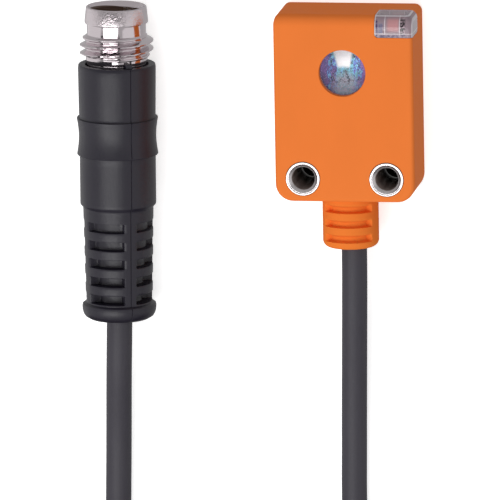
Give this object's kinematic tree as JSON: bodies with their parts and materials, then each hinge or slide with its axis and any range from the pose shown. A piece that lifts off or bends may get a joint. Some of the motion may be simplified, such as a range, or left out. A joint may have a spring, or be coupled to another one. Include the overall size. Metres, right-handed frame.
{
  "type": "photoelectric sensor",
  "caption": "Small cuboid photoelectric sensor with a round lens, two threaded bushes and a corner indicator window, on a short cable ending in a round threaded plug.",
  "frame": {"origin": "on the mounting face (the back of the housing), midway between the axes of the two threaded bushes", "axes": "+Z out of the front face with the lens, +Y from the cable end to the end with the indicator window, +X to the right as the lens is faced"},
  "size_m": [0.0378, 0.0899, 0.0087],
  "materials": {
    "housing": "fine satin orange moulding",
    "relief_orange": "matt orange flexible moulding",
    "lens_glass": "polished, blue-violet coated",
    "window_clear": "polished clear",
    "seal_rubber": "matt black",
    "black_plastic": "matt black",
    "diode_epoxy": "dark clear epoxy",
    "bush_metal": "turned, bright rim",
    "divider_grey": "grey moulding",
    "led_output": "pink-tinted epoxy",
    "led_power": "dark package with pale beads",
    "board_green": "green solder mask",
    "chip_black": "black epoxy",
    "capacitor_tan": "tan ceramic",
    "can_tin": "tinned sheet",
    "clamp_brass": "crimped brass",
    "wire_brown": "brown insulation",
    "wire_blue": "blue insulation",
    "wire_black": "black insulation",
    "sleeve_nickel": "bright nickel plate",
    "shell_black": "satin black moulding",
    "filler_grey": "grey moulding",
    "cable_jacket": "dark grey polyurethane",
    "contact_gold": "gold plated",
    "tie_black": "black nylon"
  },
  "bodies": {
    "root": {"housing_body": "housing", "back_cover": "housing", "lens": "lens_glass", "lens_seal": "seal_rubber", "optics_tube": "black_plastic", "aperture_disc": "black_plastic", "receiver_diode": "diode_epoxy", "bush_left": "bush_metal", "bush_right": "bush_metal", "indicator_window": "window_clear", "lamp_divider": "divider_grey", "output_led": "led_output", "power_led": "led_power", "circuit_board": "board_green", "sensor_chip": "chip_black", "output_driver": "chip_black", "regulator": "chip_black", "capacitor_1": "capacitor_tan", "capacitor_2": "capacitor_tan", "capacitor_3": "capacitor_tan", "resistor_1": "chip_black", "resistor_2": "chip_black", "resistor_3": "chip_black", "resistor_4": "chip_black", "shield_can": "can_tin", "strain_relief": "relief_orange", "cable_clamp": "clamp_brass", "cable_end_head": "cable_jacket", "head_wire_brown": "wire_brown", "head_wire_blue": "wire_blue", "head_wire_black": "wire_black", "plug_sleeve": "sleeve_nickel", "plug_shell": "shell_black", "contact_carrier": "black_plastic", "plug_filler": "filler_grey", "cable_end_plug": "cable_jacket", "contact_pin_1": "contact_gold", "contact_pin_3": "contact_gold", "contact_pin_4": "contact_gold", "plug_wire_brown": "wire_brown", "plug_wire_blue": "wire_blue", "plug_wire_black": "wire_black", "cable_run_head": "cable_jacket", "cable_run_plug": "cable_jacket", "cable_coil": "cable_jacket", "cable_tie": "tie_black"}
  },
  "joints": []
}
